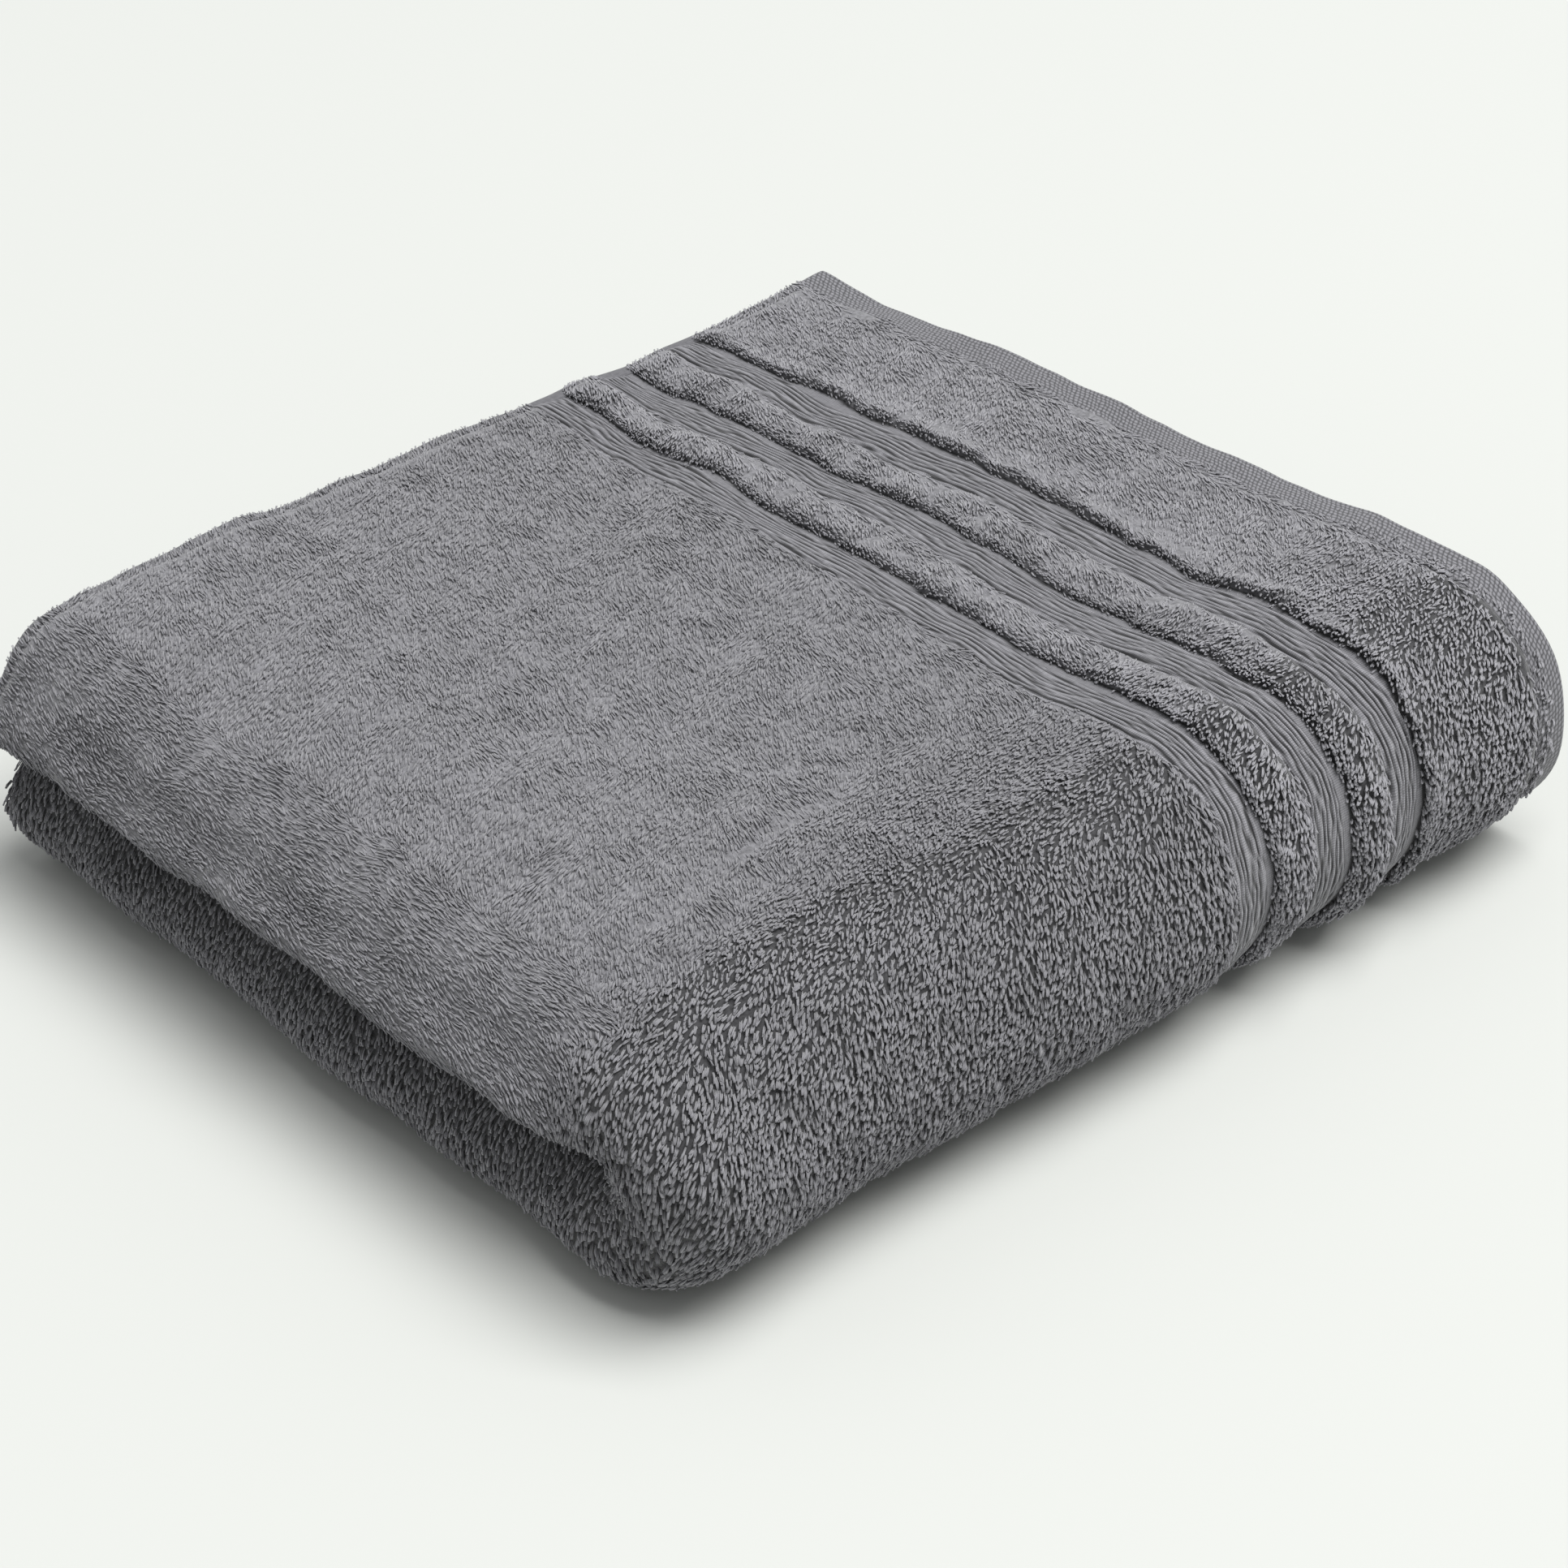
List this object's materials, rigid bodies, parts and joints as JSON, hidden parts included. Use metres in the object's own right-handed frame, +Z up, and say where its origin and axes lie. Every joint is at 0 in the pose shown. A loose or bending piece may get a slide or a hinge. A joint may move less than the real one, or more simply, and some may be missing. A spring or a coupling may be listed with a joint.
{
  "type": "folded bath towel",
  "caption": "Terry bath towel folded crosswise into a soft book with a rounded spine, flat hems and ribbed flat-woven bands near each end.",
  "frame": {"origin": "centre of the flat underside the folded towel rests on", "axes": "+Z up; +X towards the end with the hems; -Y towards the rounded spine of the book fold; +Y towards the open side edges"},
  "size_m": [0.355, 0.3323, 0.0882],
  "materials": {
    "terry_pile": "soft cotton loops, matt",
    "dobby_band": "flat ribbed weave, faint sheen",
    "end_hem": "flat diagonal weave, matt",
    "side_hem": "narrow turned edge, matt",
    "sewing_thread": "twisted polyester thread, faint sheen"
  },
  "bodies": {
    "lower_half": {"outer_hem_lower": "end_hem", "outer_hem_stitch_lower": "sewing_thread", "outer_terry_margin_lower": "terry_pile", "outer_band_1_lower": "dobby_band", "outer_terry_rib_1_lower": "terry_pile", "outer_band_2_lower": "dobby_band", "outer_terry_rib_2_lower": "terry_pile", "outer_band_3_lower": "dobby_band", "inner_hem_lower": "end_hem", "inner_hem_stitch_lower": "sewing_thread", "inner_terry_margin_lower": "terry_pile", "inner_band_1_lower": "dobby_band", "inner_terry_rib_1_lower": "terry_pile", "inner_band_2_lower": "dobby_band", "inner_terry_rib_2_lower": "terry_pile", "inner_band_3_lower": "dobby_band", "terry_field_lower": "terry_pile", "side_hem_lower": "side_hem", "outer_hem_spine": "end_hem", "outer_hem_stitch_spine": "sewing_thread", "outer_terry_margin_spine": "terry_pile", "outer_band_1_spine": "dobby_band", "outer_terry_rib_1_spine": "terry_pile", "outer_band_2_spine": "dobby_band", "outer_terry_rib_2_spine": "terry_pile", "outer_band_3_spine": "dobby_band", "inner_hem_spine": "end_hem", "inner_hem_stitch_spine": "sewing_thread", "inner_terry_margin_spine": "terry_pile", "inner_band_1_spine": "dobby_band", "inner_terry_rib_1_spine": "terry_pile", "inner_band_2_spine": "dobby_band", "inner_terry_rib_2_spine": "terry_pile", "inner_band_3_spine": "dobby_band", "terry_field_spine": "terry_pile"},
    "upper_half": {"outer_hem_upper": "end_hem", "outer_hem_stitch_upper": "sewing_thread", "outer_terry_margin_upper": "terry_pile", "outer_band_1_upper": "dobby_band", "outer_terry_rib_1_upper": "terry_pile", "outer_band_2_upper": "dobby_band", "outer_terry_rib_2_upper": "terry_pile", "outer_band_3_upper": "dobby_band", "inner_hem_upper": "end_hem", "inner_hem_stitch_upper": "sewing_thread", "inner_terry_margin_upper": "terry_pile", "inner_band_1_upper": "dobby_band", "inner_terry_rib_1_upper": "terry_pile", "inner_band_2_upper": "dobby_band", "inner_terry_rib_2_upper": "terry_pile", "inner_band_3_upper": "dobby_band", "terry_field_upper": "terry_pile", "side_hem_upper": "side_hem"}
  },
  "joints": [
    {"name": "book_fold", "type": "hinge", "parent": "lower_half", "child": "upper_half", "pos_m": [0, -0.1224, 0.0441], "axis": [1, 0, 0], "range_deg": [0, 179], "deforming": ["outer_hem_spine", "outer_hem_stitch_spine", "outer_terry_margin_spine", "outer_band_1_spine", "outer_terry_rib_1_spine", "outer_band_2_spine", "outer_terry_rib_2_spine", "outer_band_3_spine", "inner_hem_spine", "inner_hem_stitch_spine", "inner_terry_margin_spine", "inner_band_1_spine", "inner_terry_rib_1_spine", "inner_band_2_spine", "inner_terry_rib_2_spine", "inner_band_3_spine", "terry_field_spine"]}
  ]
}
